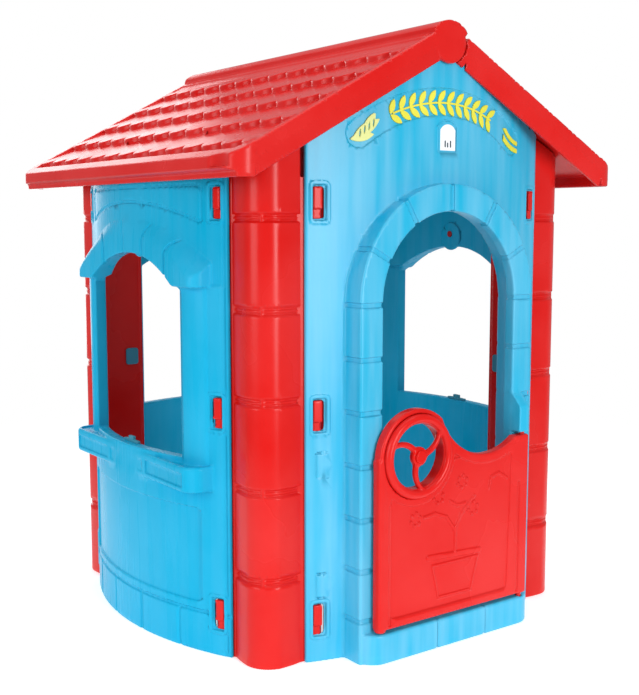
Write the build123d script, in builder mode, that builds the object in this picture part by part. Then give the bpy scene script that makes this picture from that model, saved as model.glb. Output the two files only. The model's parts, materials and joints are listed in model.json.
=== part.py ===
"""Plastic garden playhouse: four bowed walls, four corner posts, a two-part roof,
a half door and a steering wheel that turns in the door's round eye.

The origin is on the floor, at the centre of the house.  +Z is up and the door faces -Y.
Each wall is drawn in its own axes: along the wall, outwards from the centre, and up.
"""

from build123d import *
from math import radians, sin
import os

os.makedirs("parts", exist_ok=True)

# ---------------------------------------------------------------- driving dimensions, mm
skin = 2.0                  # wall thickness of the hollow mouldings
outer_skin = 4.0            # the same where shallow recesses are sunk in
recess_depth = 2.0
house = 858.0               # outside width and depth over the corner posts
half = house / 2

post_side = 104.0           # visible side of a corner post
post_core = 121.0           # full side of a post, with the part behind the wall flanges
post_round = 57.0           # outer corner of a post
block_pitch = 182.0         # height of one post block
block_count = 6
groove = 7.0                # width of the joints between blocks
groove_depth = 5.0

wall_half = 322.0           # half length of a wall
thick_half = 262.0          # half length of its thick, hollow middle
flange = 8.0                # thickness of the edge flanges
wall_thick = 27.0           # thickness of the hollow middle
end_out = 434.4             # distance of a wall's outer face from the centre, at its ends

side_bow = 84.0             # how far the side walls bow out past the posts
shoulder = 775.0            # height where the side walls step back under the eaves
upper_bow = 64.0            # bow of the side walls above the shoulder
side_top = 1000.0
gable_bow = 55.0            # bow of the front and back walls

slot_at = 294.0             # slots for the hooks, along the wall
slot_size = (22.0, 62.0)
slot_heights = (90.0, 515.0, 940.0)

roof_half = 527.0           # from the ridge to the eaves
roof_front = 497.0          # the roof reaches further out at the back
roof_back = 548.0
ridge_top = 1308.0
eaves_top = 1022.0
roof_slope = (ridge_top - eaves_top) / roof_half
panel = 32.0                # upright thickness of a roof panel
fascia_bottom = 984.0
fascia = 12.0
barge = 12.0                # thickness of a barge board
barge_drop = 63.0           # upright height of a barge board
roll_radius = 60.0          # ridge roll
roll_half = 45.0
roll_skin = 7.0

door_half = 213.0
door_thick = 24.0
door_mid = 524.0            # distance of the door's mid plane from the centre
door_bottom = 72.0
door_top = 434.0
door_dip = 406.0
hinge_x = 200.0
pin_radius = 6.0
pin_play = 0.08
eye_x, eye_z = -112.0, 425.0
lobe_radius = 98.0
wheel_ring = 79.0
ring_radius = 9.5

frame_out = 509.0           # front plane of the doorway frame
frame_half = 241.0
opening_half = 183.0
spring = 740.0              # where the doorway arch starts
jamb_depth = 28.0
sill_out = 535.0
sill_half = 239.0
sill_top = 64.0

banner_half = 252.0
tab_radius = 37.0
tab_lift = 27.0             # from the top of a window to the middle of its tab
hook_out = 5.0              # how far the hooks stand out of the slots
hook_size = (17.0, 44.0)
tongue_play = 0.5           # between a wall's flange and the plate behind it
tongue_back = 5.0
window_half = 207.0
window_spring = 762.0
window_rise = 73.0
window_bottom = 412.0
back_window_half = 246.0
back_window_bottom = 416.0
back_window_spring = 785.0
back_window_rise = 60.0
shelf_front = 511.0         # straight front of the window shelf
shelf_half = 288.0
shelf_round = 38.0
shelf_bottom = 350.0
shelf_top = 404.0
hood_front = 497.0          # straight front of the brick hood
hood_half = 283.0
hood_round = 30.0
hood_top = 907.0
hood_end_top = 821.0
hood_foot = 770.0
block_middle = 100.0        # half of the shelf's and hood's middle, too thin to be hollow

# ---------------------------------------------------------------- shared geometry
FRONT, LEFT, BACK, RIGHT = (1, 0, 0), (0, -1, 0), (-1, 0, 0), (0, 1, 0)


def plan(along, height):
    """Level plane of a wall: local x runs along it and local -y points outwards."""
    return Plane(origin=(0, 0, height), x_dir=along, z_dir=(0, 0, 1))


def elevation(along, out):
    """Upright plane of a wall, `out` from the centre, seen from outside."""
    outward = Vector(along).cross(Vector(0, 0, 1))
    return Plane(origin=outward * out, x_dir=along, z_dir=outward)


def bow_radius(bow):
    """Radius of an outer face that bows out past the posts and ends at end_out."""
    rise = half + bow - end_out
    return (wall_half**2 + rise**2) / (2 * rise)


def rise_radius(half_width, rise):
    return (half_width**2 + rise**2) / (2 * rise)


def bow_band(bow, outer, inner, half_length):
    """Plan of a bowed wall between two depths, measured in from its outer face."""
    radius = bow_radius(bow)
    with BuildSketch() as band:
        with Locations((0, radius - half - bow)):
            Circle(radius - outer)
            Circle(radius - inner, mode=Mode.SUBTRACT)
        with Locations((0, -roof_half)):
            Rectangle(2 * half_length, roof_half, mode=Mode.INTERSECT)
    return band.sketch


def arched(half_width, bottom, springing, rise):
    """Opening with upright sides and a segmental or round arch."""
    with BuildSketch() as shape:
        with BuildLine():
            Polyline(
                (-half_width, springing),
                (-half_width, bottom),
                (half_width, bottom),
                (half_width, springing),
            )
            ThreePointArc((half_width, springing), (0, springing + rise), (-half_width, springing))
        make_face()
    return shape.sketch


def roof_under(x):
    """Height of the roof's underside."""
    return ridge_top - panel - roof_slope * abs(x)


def gable(bottom, gap):
    """Outline of a gable wall that stops a gap below the roof."""
    edge = roof_under(wall_half) - gap
    with BuildSketch() as shape:
        with BuildLine():
            Polyline(
                (-wall_half, bottom),
                (wall_half, bottom),
                (wall_half, edge),
                (0, roof_under(0) - gap),
                (-wall_half, edge),
                close=True,
            )
        make_face()
    return shape.sketch


def slots():
    """Hook slots in both flanges of a wall."""
    with BuildSketch() as shape:
        for height in slot_heights:
            with Locations((-slot_at, height), (slot_at, height)):
                RectangleRounded(*slot_size, 5)
    return shape.sketch


# ---------------------------------------------------------------- side walls
def block_plan(bow, front, length, corner, inset):
    """Plan of a straight-fronted block on a bowed wall, or with an inset the air inside it."""
    depth = front - end_out + 2 * flange
    overlap = 0.5 * skin - inset if inset else 1.5 * skin
    with BuildSketch() as outline:
        with Locations((0, inset - front + depth / 2)):
            Rectangle(2 * (length - inset), depth)
        fillet(outline.vertices().group_by(Axis.Y)[0], corner - inset)
        with Locations((0, bow_radius(bow) - half - bow)):
            Circle(bow_radius(bow) - overlap, mode=Mode.SUBTRACT)
        if inset:
            Rectangle(2 * block_middle, 4 * half, mode=Mode.SUBTRACT)
    return outline.sketch


def hood_shape(inset):
    """Arched brick hood over a side window, seen from outside."""
    radius = rise_radius(hood_half, hood_top - hood_end_top)
    with BuildSketch() as shape:
        with Locations((0, hood_top - radius)):
            Circle(radius - inset)
        with Locations((0, (hood_foot + hood_top) / 2)):
            Rectangle(3 * hood_half, hood_top - hood_foot - 2 * inset, mode=Mode.INTERSECT)
        add(arched(window_half + inset, 0, window_spring, window_rise + inset), mode=Mode.SUBTRACT)
    return shape.sketch


def hood(along, inset):
    """The hood's block, or with an inset the air space inside it."""
    with BuildPart() as block:
        with BuildSketch(plan(along, hood_foot)):
            add(block_plan(upper_bow, hood_front, hood_half, hood_round, inset))
        extrude(amount=hood_top - hood_foot)
        with BuildSketch(elevation(along, 0)):
            add(hood_shape(inset))
        extrude(amount=2 * half, mode=Mode.INTERSECT)
    return block.part


def side_hollow(along):
    """Air space inside a side wall and its shelf."""
    with BuildPart() as air:
        with BuildSketch(plan(along, skin)):
            add(bow_band(side_bow, outer_skin, wall_thick - skin, thick_half - skin))
        extrude(amount=shoulder - 2 * skin)
        with BuildSketch(plan(along, shoulder + skin)):
            add(bow_band(upper_bow, skin, wall_thick - skin, thick_half - skin))
        extrude(amount=side_top - shoulder - 2 * skin)
        with BuildSketch(elevation(along, 0)):
            add(arched(window_half + skin, window_bottom - skin, window_spring, window_rise + skin))
        extrude(amount=2 * half, mode=Mode.SUBTRACT)
        with BuildSketch(plan(along, shelf_bottom + skin)):
            add(block_plan(side_bow, shelf_front, shelf_half, shelf_round, skin))
        extrude(amount=shelf_top - shelf_bottom - 2 * skin)
    return air.part


def side_wall(along):
    """Bowed window bay with columns, shelf, hood and recessed lower panel."""
    hood_block = hood(along, 0)
    hood_air = hood(along, skin)
    wall_air = side_hollow(along)
    with BuildPart() as wall:
        with BuildSketch(plan(along, 0)):
            add(bow_band(side_bow, 0, flange, wall_half))
            add(bow_band(side_bow, 0, wall_thick, thick_half))
        extrude(amount=shoulder)
        with BuildSketch(plan(along, shoulder)):
            add(bow_band(upper_bow, 0, flange, wall_half))
            add(bow_band(upper_bow, 0, wall_thick, thick_half))
        extrude(amount=side_top - shoulder)
        # window columns
        with BuildSketch(plan(along, shelf_top)):
            add(bow_band(side_bow, -6, 0, thick_half + 10))
        extrude(amount=hood_foot - shelf_top)
        # shelf under the window
        with BuildSketch(plan(along, shelf_bottom)):
            add(block_plan(side_bow, shelf_front, shelf_half, shelf_round, 0))
        extrude(amount=shelf_top - shelf_bottom)
        add(hood_block)
        # recessed lower panel
        with BuildSketch(plan(along, 108)):
            add(bow_band(side_bow, -1, recess_depth, thick_half - 4))
        extrude(amount=200, mode=Mode.SUBTRACT)
        with BuildSketch(elevation(along, 0)):
            add(arched(window_half, window_bottom, window_spring, window_rise))
        extrude(amount=2 * half, mode=Mode.SUBTRACT)
        with BuildSketch(elevation(along, 0)):
            add(slots())
        extrude(amount=2 * half, mode=Mode.SUBTRACT)
        add(wall_air, mode=Mode.SUBTRACT)
        add(hood_air, mode=Mode.SUBTRACT)
        # half-round tab at the top of the window, on the inner face
        tab_out = half + upper_bow - wall_thick
        with BuildSketch(elevation(along, tab_out - 5)):
            with Locations((0, window_spring + window_rise + tab_lift)):
                Circle(tab_radius)
        extrude(amount=6)
    return wall.part


for name, along in (("left_wall", LEFT), ("right_wall", RIGHT)):
    bay = side_wall(along)
    with BuildPart() as window_wall:
        add(bay)
    window_wall.part.label = name
    export_step(window_wall.part, f"parts/{name}.step")


# ---------------------------------------------------------------- gable walls
def gable_shell(along, opening):
    """Bowed gable wall with its slots and one opening, hollow in the middle."""
    with BuildPart() as air:
        with BuildSketch(plan(along, skin)):
            add(bow_band(gable_bow, outer_skin, wall_thick - skin, thick_half - skin))
        extrude(amount=ridge_top)
        with BuildSketch(elevation(along, 0)):
            add(gable(skin, 3 * skin))
        extrude(amount=2 * half, mode=Mode.INTERSECT)
        with BuildSketch(elevation(along, 0)):
            add(opening)
            offset(amount=skin)
        extrude(amount=2 * half, mode=Mode.SUBTRACT)
    with BuildPart() as wall:
        with BuildSketch(plan(along, 0)):
            add(bow_band(gable_bow, 0, flange, wall_half))
            add(bow_band(gable_bow, 0, wall_thick, thick_half))
        extrude(amount=ridge_top)
        with BuildSketch(elevation(along, 0)):
            add(gable(0, 2))
        extrude(amount=2 * half, mode=Mode.INTERSECT)
        with BuildSketch(elevation(along, 0)):
            add(opening)
            add(slots())
        extrude(amount=2 * half, mode=Mode.SUBTRACT)
        add(air.part, mode=Mode.SUBTRACT)
    return wall.part


def arch(half_width, bottom):
    """Round-arched doorway shape."""
    return arched(half_width, bottom, spring, half_width)


def arch_ring(inner, outer, bottom):
    """Doorway frame between two arches, seen from outside."""
    with BuildSketch() as ring:
        add(arch(outer, bottom))
        add(arch(inner, bottom), mode=Mode.SUBTRACT)
    return ring.sketch


def sill_plan(inset):
    """Level outline of the door sill, with round front corners."""
    with BuildSketch() as shape:
        with Locations((0, -(sill_out + half) / 2)):
            Rectangle(2 * (sill_half - inset), sill_out - half - 2 * inset)
        fillet(shape.vertices().group_by(Axis.Y)[0], 45 - inset)
    return shape.sketch


def banner(outer_inset, half_width):
    """Arched band over the doorway."""
    banner_centre, banner_outer, banner_inner = 800, 376, 320
    with BuildSketch() as band:
        with Locations((0, banner_centre)):
            Circle(banner_outer - outer_inset)
            Circle(banner_inner + outer_inset, mode=Mode.SUBTRACT)
        with Locations((0, banner_centre + banner_outer)):
            Rectangle(2 * half_width, banner_outer, mode=Mode.INTERSECT)
    return band.sketch


def label_shape(inset):
    """Small arched label under the banner."""
    return arched(33 - inset, 1040 + inset, 1098, 18 - inset)


def inlay(shape, outer, inner):
    """Piece that follows the bowed front wall between two depths."""
    with BuildPart() as piece:
        with BuildSketch(plan(FRONT, 0)):
            add(bow_band(gable_bow, outer, inner, thick_half))
        extrude(amount=ridge_top)
        with BuildSketch(elevation(FRONT, 0)):
            add(shape)
        extrude(amount=2 * half, mode=Mode.INTERSECT)
    return piece.part


front_shell = gable_shell(FRONT, arch(opening_half, sill_top))
banner_recess = inlay(banner(0, banner_half), -1, recess_depth)
label_recess = inlay(label_shape(0), -1, recess_depth)

with BuildPart() as front_wall:
    add(front_shell)
    # stone-block frame, an open-backed channel round the doorway
    with BuildSketch(elevation(FRONT, frame_out)):
        add(arch_ring(opening_half, frame_half, 0))
    extrude(amount=-60)
    with BuildSketch(elevation(FRONT, frame_out - skin)):
        add(arch_ring(opening_half + skin, frame_half - skin, sill_top))
    extrude(amount=-110, mode=Mode.SUBTRACT)
    with BuildSketch(elevation(FRONT, frame_out - jamb_depth)):
        add(arch(opening_half + 2 * skin, sill_top))
    extrude(amount=-110, mode=Mode.SUBTRACT)
    # sill, hollow and open below
    with BuildSketch(plan(FRONT, 0)):
        add(sill_plan(0))
    extrude(amount=sill_top)
    with BuildSketch(plan(FRONT, 0)):
        add(sill_plan(skin))
    extrude(amount=sill_top - skin, mode=Mode.SUBTRACT)
    # block that carries the door's upper pin, with a sloping top
    with BuildSketch(Plane.YZ.offset(opening_half)):
        with BuildLine():
            Polyline(
                (-frame_out + 1, door_top + 6),
                (-sill_out, door_top + 6),
                (-sill_out, door_top + 60),
                (-frame_out, door_top + 88),
                (-frame_out + 1, door_top + 88),
                close=True,
            )
        make_face()
    extrude(amount=door_half - opening_half)
    with BuildSketch(plan(FRONT, sill_top - 26)):
        with Locations((hinge_x, -door_mid)):
            Circle(11)
    extrude(amount=26 - skin)
    # sockets of the two pins
    with BuildSketch(plan(FRONT, sill_top - 22)):
        with Locations((hinge_x, -door_mid)):
            Circle(pin_radius + pin_play)
    extrude(amount=24, mode=Mode.SUBTRACT)
    with BuildSketch(plan(FRONT, door_top + 5)):
        with Locations((hinge_x, -door_mid)):
            Circle(pin_radius + pin_play)
    extrude(amount=22, mode=Mode.SUBTRACT)
    add(banner_recess, mode=Mode.SUBTRACT)
    add(label_recess, mode=Mode.SUBTRACT)
front_wall.part.label = "front_wall"
export_step(front_wall.part, "parts/front_wall.step")

back_opening = arched(back_window_half, back_window_bottom, back_window_spring, back_window_rise)
back_shell = gable_shell(BACK, back_opening)

with BuildPart() as back_wall:
    add(back_shell)
    with BuildSketch(elevation(BACK, half + gable_bow - wall_thick - 5)):
        with Locations((0, back_window_spring + back_window_rise + tab_lift)):
            Circle(tab_radius)
    extrude(amount=6)
back_wall.part.label = "back_wall"
export_step(back_wall.part, "parts/back_wall.step")


# ---------------------------------------------------------------- corner posts
def stages(along):
    """Bow, bottom and top of each height stage of a wall."""
    if along in (FRONT, BACK):
        return ((gable_bow, 0, side_top),)
    return ((side_bow, 0, shoulder), (upper_bow, shoulder, side_top))


def tongue(along, end, bow, bottom, top):
    """Plate behind a wall's flange, at the wall's start (-1) or end (+1)."""
    with BuildPart() as plate:
        with BuildSketch(plan(along, bottom)):
            add(bow_band(bow, flange + tongue_play, flange + tongue_back, wall_half + 12))
            with Locations((end * (wall_half - 8), -half)):
                Rectangle(76, half, mode=Mode.INTERSECT)
        extrude(amount=top - bottom)
    return plate.part


def hooks(along, end, bow, bottom, top):
    """Hooks on a plate, which stand out through the wall's slots."""
    with BuildPart() as row:
        with BuildSketch(elevation(along, 0)):
            for height in slot_heights:
                if bottom < height < top:
                    with Locations((end * slot_at, height + 6)):
                        RectangleRounded(*hook_size, 3)
        extrude(amount=2 * half)
        with BuildSketch(plan(along, bottom)):
            add(bow_band(bow, -hook_out, flange + 2, wall_half + 12))
        extrude(amount=top - bottom, mode=Mode.INTERSECT)
    return row.part


def under_roof(gap):
    """Everything that lies a gap below the roof."""
    width = 2 * roof_half
    with BuildPart() as room:
        with BuildSketch(Plane.XZ.offset(-width)):
            with BuildLine():
                Polyline(
                    (-width, 0),
                    (width, 0),
                    (width, roof_under(width) - gap),
                    (0, roof_under(0) - gap),
                    (-width, roof_under(width) - gap),
                    close=True,
                )
            make_face()
        extrude(amount=2 * width)
    return room.part


def post_plan(x_sign, y_sign, inset):
    """Level outline of a post: the visible square with its round corner, and the core behind it."""
    middle = half - post_side / 2
    core = post_core - (half - end_out + 22)
    core_middle = half - post_core + core / 2
    with BuildSketch() as outline:
        with Locations((x_sign * middle, y_sign * middle)):
            Rectangle(post_side, post_side)
        fillet(outline.vertices().sort_by(lambda v: x_sign * v.X + y_sign * v.Y)[-1], post_round)
        with Locations((x_sign * core_middle, y_sign * core_middle)):
            Rectangle(core, core)
        if inset:
            offset(amount=-inset)
    return outline.sketch


WALLS = (LEFT, FRONT, RIGHT, BACK)
POST_NAMES = ("front_left_post", "front_right_post", "back_right_post", "back_left_post")
roof_room = under_roof(2)

for index, name in enumerate(POST_NAMES):
    first, second = WALLS[index], WALLS[(index + 1) % 4]
    x_sign, y_sign = first[0] - second[0], first[1] - second[1]
    outline = post_plan(x_sign, y_sign, 0)
    waist = post_plan(x_sign, y_sign, groove_depth)
    neck = post_plan(x_sign, y_sign, groove_depth + skin)
    bore = post_plan(x_sign, y_sign, skin)
    plates = []
    for along, end in ((first, 1), (second, -1)):
        for bow, bottom, top in stages(along):
            plates.append(tongue(along, end, bow, bottom, top))
            plates.append(hooks(along, end, bow, bottom, top))
    with BuildPart() as post:
        with BuildSketch():
            add(outline)
        extrude(amount=ridge_top)
        add(roof_room, mode=Mode.INTERSECT)
        for joint_index in range(1, block_count):
            with BuildSketch(Plane.XY.offset(joint_index * block_pitch - groove / 2)):
                add(outline)
                add(waist, mode=Mode.SUBTRACT)
            extrude(amount=groove, mode=Mode.SUBTRACT)
        with BuildSketch(Plane.XY.offset(skin)):
            add(neck)
        extrude(amount=side_top, mode=Mode.SUBTRACT)
        for block in range(block_count):
            floor = block * block_pitch + groove / 2 + skin
            ceiling = min(floor + block_pitch - groove - 2 * skin, roof_under(half) - 2 * skin)
            with BuildSketch(Plane.XY.offset(floor)):
                add(bore)
            extrude(amount=ceiling - floor, mode=Mode.SUBTRACT)
        for plate in plates:
            add(plate)
    post.part.label = name
    export_step(post.part, f"parts/{name}.step")


# ---------------------------------------------------------------- roof
def roof_section(side, inset):
    """Upright section of a roof half; side is -1 for the left half and 1 for the right."""
    flat = 8.0
    top = ridge_top - roof_slope * flat
    with BuildSketch() as section:
        with BuildLine():
            Polyline(
                (0, top),
                (side * flat, top),
                (side * roof_half, eaves_top),
                (side * roof_half, fascia_bottom),
                (side * (roof_half - fascia), fascia_bottom),
                (side * (roof_half - fascia), roof_under(roof_half - fascia)),
                (0, roof_under(0)),
                close=True,
            )
        make_face()
        if inset:
            offset(amount=-inset)
    return section.sketch


def barge_section(side):
    """End board of a roof half, which hangs below the panel."""
    flat = 8.0
    drop_line = ridge_top - barge_drop
    with BuildSketch() as section:
        with BuildLine():
            Polyline(
                (0, ridge_top - roof_slope * flat),
                (side * flat, ridge_top - roof_slope * flat),
                (side * roof_half, eaves_top),
                (side * roof_half, fascia_bottom),
                (side * (drop_line - fascia_bottom) / roof_slope, fascia_bottom),
                (0, drop_line),
                close=True,
            )
        make_face()
    return section.sketch


def roll_section():
    """Ridge roll of the left half: full on its own side, a lip over the right half."""
    centre = ridge_top + 4 - roll_radius
    rise = 29.0
    play = 0.8
    with BuildSketch() as lip_room:
        with Locations((0, centre)):
            Circle(roll_radius - roll_skin)
        with Locations((roll_radius, centre)):
            Rectangle(2 * roll_radius, 4 * roll_radius, mode=Mode.INTERSECT)
        add(roof_section(1, -play))
    with BuildSketch() as section:
        with Locations((0, centre)):
            Circle(roll_radius)
        with Locations((0, centre + roll_radius)):
            Rectangle(2 * roll_half, 2 * rise, mode=Mode.INTERSECT)
        add(lip_room.sketch, mode=Mode.SUBTRACT)
    return section.sketch


for side, name in ((-1, "roof_left"), (1, "roof_right")):
    with BuildPart() as roof:
        with BuildSketch(Plane.XZ.offset(-roof_back)):
            add(roof_section(side, 0))
            if side < 0:
                add(roll_section())
        extrude(amount=roof_front + roof_back)
        with BuildSketch(Plane.XZ.offset(-roof_back)):
            add(barge_section(side))
        extrude(amount=barge)
        with BuildSketch(Plane.XZ.offset(roof_front - barge)):
            add(barge_section(side))
        extrude(amount=barge)
        with BuildSketch(Plane.XZ.offset(-roof_back + barge)):
            add(roof_section(side, skin))
        extrude(amount=roof_front + roof_back - 2 * barge, mode=Mode.SUBTRACT)
    roof.part.label = name
    export_step(roof.part, f"parts/{name}.step")


# ---------------------------------------------------------------- door
door_front = door_mid + door_thick / 2
door_back = door_mid - door_thick / 2
column = door_thick / 2     # round hinge column and free edge
eye_bore = 71.0
ring_room = 90.0            # shallow seat for the wheel's ring, in the front
ring_seat = 8.0
clip_room = 78.5            # seat for the wheel's clip, in the back
clip_seat = 6.0


def door_face(inset):
    """Outline of the door: flat bottom, dipped top edge and the round lobe of the eye."""
    with BuildSketch() as face:
        with BuildLine():
            Polyline(
                (hinge_x - 28, door_top),
                (hinge_x, door_top),
                (hinge_x, door_bottom),
                (column - door_half, door_bottom),
                (column - door_half, eye_z),
                (eye_x, eye_z),
                (eye_x + 86, eye_z + 38),
            )
            ThreePointArc((eye_x + 86, eye_z + 38), (82, door_dip), (hinge_x - 28, door_top))
        make_face()
        with Locations((eye_x, eye_z)):
            Circle(lobe_radius)
        if inset:
            offset(amount=-inset)
    return face.sketch


with BuildPart() as door:
    with BuildSketch(elevation(FRONT, door_back)):
        add(door_face(0))
    extrude(amount=door_thick)
    with BuildSketch(elevation(FRONT, door_back + skin)):
        add(door_face(skin))
        with Locations((eye_x, eye_z)):
            Circle(ring_room + skin, mode=Mode.SUBTRACT)
        with Locations((hinge_x, door_top / 2)):
            Rectangle(2 * column + skin, 2 * door_top, mode=Mode.SUBTRACT)
    extrude(amount=door_thick - 2 * skin, mode=Mode.SUBTRACT)
    with BuildSketch(Plane.XY.offset(door_bottom)):
        with Locations((hinge_x, -door_mid)):
            Circle(column)
    extrude(amount=door_top - door_bottom)
    with BuildSketch(Plane.XY.offset(door_bottom - 5)):
        with Locations((column - door_half, -door_mid)):
            Circle(column)
    extrude(amount=eye_z - door_bottom + 5)
    # bores for the pins
    with BuildSketch(Plane.XY.offset(door_bottom)):
        with Locations((hinge_x, -door_mid)):
            Circle(pin_radius)
    extrude(amount=20, mode=Mode.SUBTRACT)
    with BuildSketch(Plane.XY.offset(door_top - 20)):
        with Locations((hinge_x, -door_mid)):
            Circle(pin_radius)
    extrude(amount=20, mode=Mode.SUBTRACT)
    # round eye with a seat on each face for the wheel
    for plane_out, radius, depth in (
        (door_back, eye_bore, door_thick),
        (door_back, clip_room, clip_seat),
        (door_front - ring_seat, ring_room, ring_seat),
    ):
        with BuildSketch(elevation(FRONT, plane_out)):
            with Locations((eye_x, eye_z)):
                Circle(radius)
        extrude(amount=depth, mode=Mode.SUBTRACT)
door.part.label = "door"
export_step(door.part, "parts/door.step")

for name, low, high in (
    ("hinge_pin_upper", door_top - 20, door_top + 20),
    ("hinge_pin_lower", sill_top - 21.5, door_bottom + 20),
):
    with BuildPart() as pin:
        with BuildSketch(Plane.XY.offset(low)):
            with Locations((hinge_x, -door_mid)):
                Circle(pin_radius)
        extrude(amount=high - low)
    pin.part.label = name
    export_step(pin.part, f"parts/{name}.step")


# ---------------------------------------------------------------- steering wheel
ring_mid = door_front + 2   # distance of the ring's mid plane from the centre
hub_radius = 17.0
spoke_radius = 5.5
neck_play = 0.6


def wheel_point(radius, angle):
    return (eye_x + radius * sin(radians(90 - angle)), eye_z + radius * sin(radians(angle)))


with BuildPart() as steering_wheel:
    with Locations((eye_x, -ring_mid, eye_z)):
        Torus(wheel_ring, ring_radius, rotation=(90, 0, 0))
    with BuildSketch(elevation(FRONT, door_back + 0.5)):
        with Locations((eye_x, eye_z)):
            Circle(eye_bore - neck_play)
            Circle(eye_bore - neck_play - skin, mode=Mode.SUBTRACT)
    extrude(amount=ring_mid - door_back)
    # clip that holds the wheel in the eye
    with BuildSketch(elevation(FRONT, door_back + 0.5)):
        with Locations((eye_x, eye_z)):
            Circle(clip_room - 0.8)
            Circle(eye_bore - neck_play - skin, mode=Mode.SUBTRACT)
    extrude(amount=clip_seat - 1.0)
    with BuildSketch(elevation(FRONT, ring_mid - 9)):
        with Locations((eye_x, eye_z)):
            Circle(hub_radius)
    extrude(amount=14)
    for spoke in range(3):
        turn = 255 + 120 * spoke
        with BuildLine(elevation(FRONT, ring_mid - 2)) as path:
            ThreePointArc(wheel_point(8, turn), wheel_point(42, turn + 7), wheel_point(wheel_ring, turn + 20))
        with BuildSketch(Plane(origin=path.line @ 0, z_dir=path.line % 0)):
            Circle(spoke_radius)
        sweep(path=path.line)
steering_wheel.part.label = "steering_wheel"
export_step(steering_wheel.part, "parts/steering_wheel.step")

with BuildPart() as hub_cap:
    with BuildSketch(elevation(FRONT, ring_mid + 5)):
        with Locations((eye_x, eye_z)):
            Circle(hub_radius - 3)
    extrude(amount=roof_back - ring_mid - 5)
    fillet(hub_cap.faces().sort_by(Axis.Y)[0].edges(), 3.5)
hub_cap.part.label = "hub_cap"
export_step(hub_cap.part, "parts/hub_cap.step")


# ---------------------------------------------------------------- trim on the gable
def stripes():
    """Two short curved stripes at the right end of the banner."""
    with BuildSketch() as pair:
        with Locations((196, 1050)):
            Circle(47)
            Circle(37, mode=Mode.SUBTRACT)
            Circle(31)
            Circle(21, mode=Mode.SUBTRACT)
        with Locations((226, 1080)):
            Rectangle(56, 56, mode=Mode.INTERSECT)
    return pair.sketch


def wing():
    """Oval decoration at the left end of the banner."""
    with BuildSketch() as shape:
        with Locations(Location((-205, 1080), 30)):
            Ellipse(34, 13)
    return shape.sketch


for name, shape, outer, inner in (
    ("banner_garland", banner(14, 140), 0.4, recess_depth),
    ("banner_wing", wing(), 0.4, recess_depth),
    ("banner_stripes", stripes(), 0.4, recess_depth),
    ("gable_label", label_shape(2), 0.8, recess_depth),
    ("label_mark", arched(12, 1050, 1062, 5), 0.2, 0.8),
):
    trim_solid = inlay(shape, outer, inner)
    with BuildPart() as trim:
        add(trim_solid)
    trim.part.label = name
    export_step(trim.part, f"parts/{name}.step")


# ---------------------------------------------------------------- small parts inside
with BuildPart() as post_plugs:
    face_at = half - post_core
    plug_at = 340.0
    for x_sign in (-1, 1):
        for y_sign in (-1, 1):
            with Locations(
                (x_sign * plug_at, y_sign * (face_at - 1.5), 563),
            ):
                Box(34, 3, 42)
            with Locations(
                (x_sign * (face_at - 1.5), y_sign * plug_at, 563),
            ):
                Box(3, 34, 42)
post_plugs.part.label = "post_plugs"
export_step(post_plugs.part, "parts/post_plugs.step")

with BuildPart() as tab_pins:
    for along, bow, height in (
        (LEFT, upper_bow, window_spring + window_rise + tab_lift),
        (RIGHT, upper_bow, window_spring + window_rise + tab_lift),
        (BACK, gable_bow, back_window_spring + back_window_rise + tab_lift),
    ):
        with BuildSketch(elevation(along, half + bow - wall_thick - 9)):
            with Locations((0, height + 6)):
                Circle(8)
        extrude(amount=4)
tab_pins.part.label = "tab_pins"
export_step(tab_pins.part, "parts/tab_pins.step")

with BuildPart() as sill_catches:
    for along in (LEFT, RIGHT):
        with BuildSketch(elevation(along, half + side_bow - wall_thick + 3)):
            with Locations((0, window_bottom + 3)):
                Rectangle(66, 6)
            with Locations((0, window_bottom + 7)):
                Rectangle(22, 14)
        extrude(amount=8)
sill_catches.part.label = "sill_catches"
export_step(sill_catches.part, "parts/sill_catches.step")
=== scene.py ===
"""Looks of the plastic playhouse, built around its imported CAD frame.

Every moulding is described as a distance field in millimetres, negative inside, and meshed from it.
Walls are drawn in their own axes: u along the wall, o outwards from the centre, z up.
"""

import json
import math

import bpy
import numpy as np
import openvdb as vdb
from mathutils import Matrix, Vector


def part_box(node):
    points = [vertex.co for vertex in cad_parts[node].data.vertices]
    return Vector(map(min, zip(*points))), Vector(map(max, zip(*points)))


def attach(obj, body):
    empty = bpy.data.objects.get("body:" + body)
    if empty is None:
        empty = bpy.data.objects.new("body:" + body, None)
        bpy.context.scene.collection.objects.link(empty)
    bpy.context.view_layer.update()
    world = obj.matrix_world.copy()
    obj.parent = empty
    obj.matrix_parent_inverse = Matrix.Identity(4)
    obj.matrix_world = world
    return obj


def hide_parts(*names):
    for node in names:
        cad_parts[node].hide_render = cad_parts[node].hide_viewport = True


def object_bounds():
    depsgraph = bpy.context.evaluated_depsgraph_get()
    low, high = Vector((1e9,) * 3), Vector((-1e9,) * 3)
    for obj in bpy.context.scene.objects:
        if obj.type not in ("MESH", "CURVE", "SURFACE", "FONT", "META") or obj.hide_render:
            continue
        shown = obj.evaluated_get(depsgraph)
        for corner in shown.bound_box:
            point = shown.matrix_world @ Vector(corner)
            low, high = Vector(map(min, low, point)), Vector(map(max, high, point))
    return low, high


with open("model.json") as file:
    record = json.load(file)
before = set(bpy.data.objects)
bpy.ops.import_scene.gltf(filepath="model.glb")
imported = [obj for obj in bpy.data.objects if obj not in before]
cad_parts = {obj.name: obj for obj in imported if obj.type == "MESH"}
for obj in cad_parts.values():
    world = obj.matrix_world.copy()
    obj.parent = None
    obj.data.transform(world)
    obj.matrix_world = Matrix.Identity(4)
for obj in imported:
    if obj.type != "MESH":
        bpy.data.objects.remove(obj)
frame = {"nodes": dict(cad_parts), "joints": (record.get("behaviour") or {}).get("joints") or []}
cad_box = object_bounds()
BOX_LOW, BOX_HIGH = np.array(cad_box[0]) * 1000, np.array(cad_box[1]) * 1000
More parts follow.
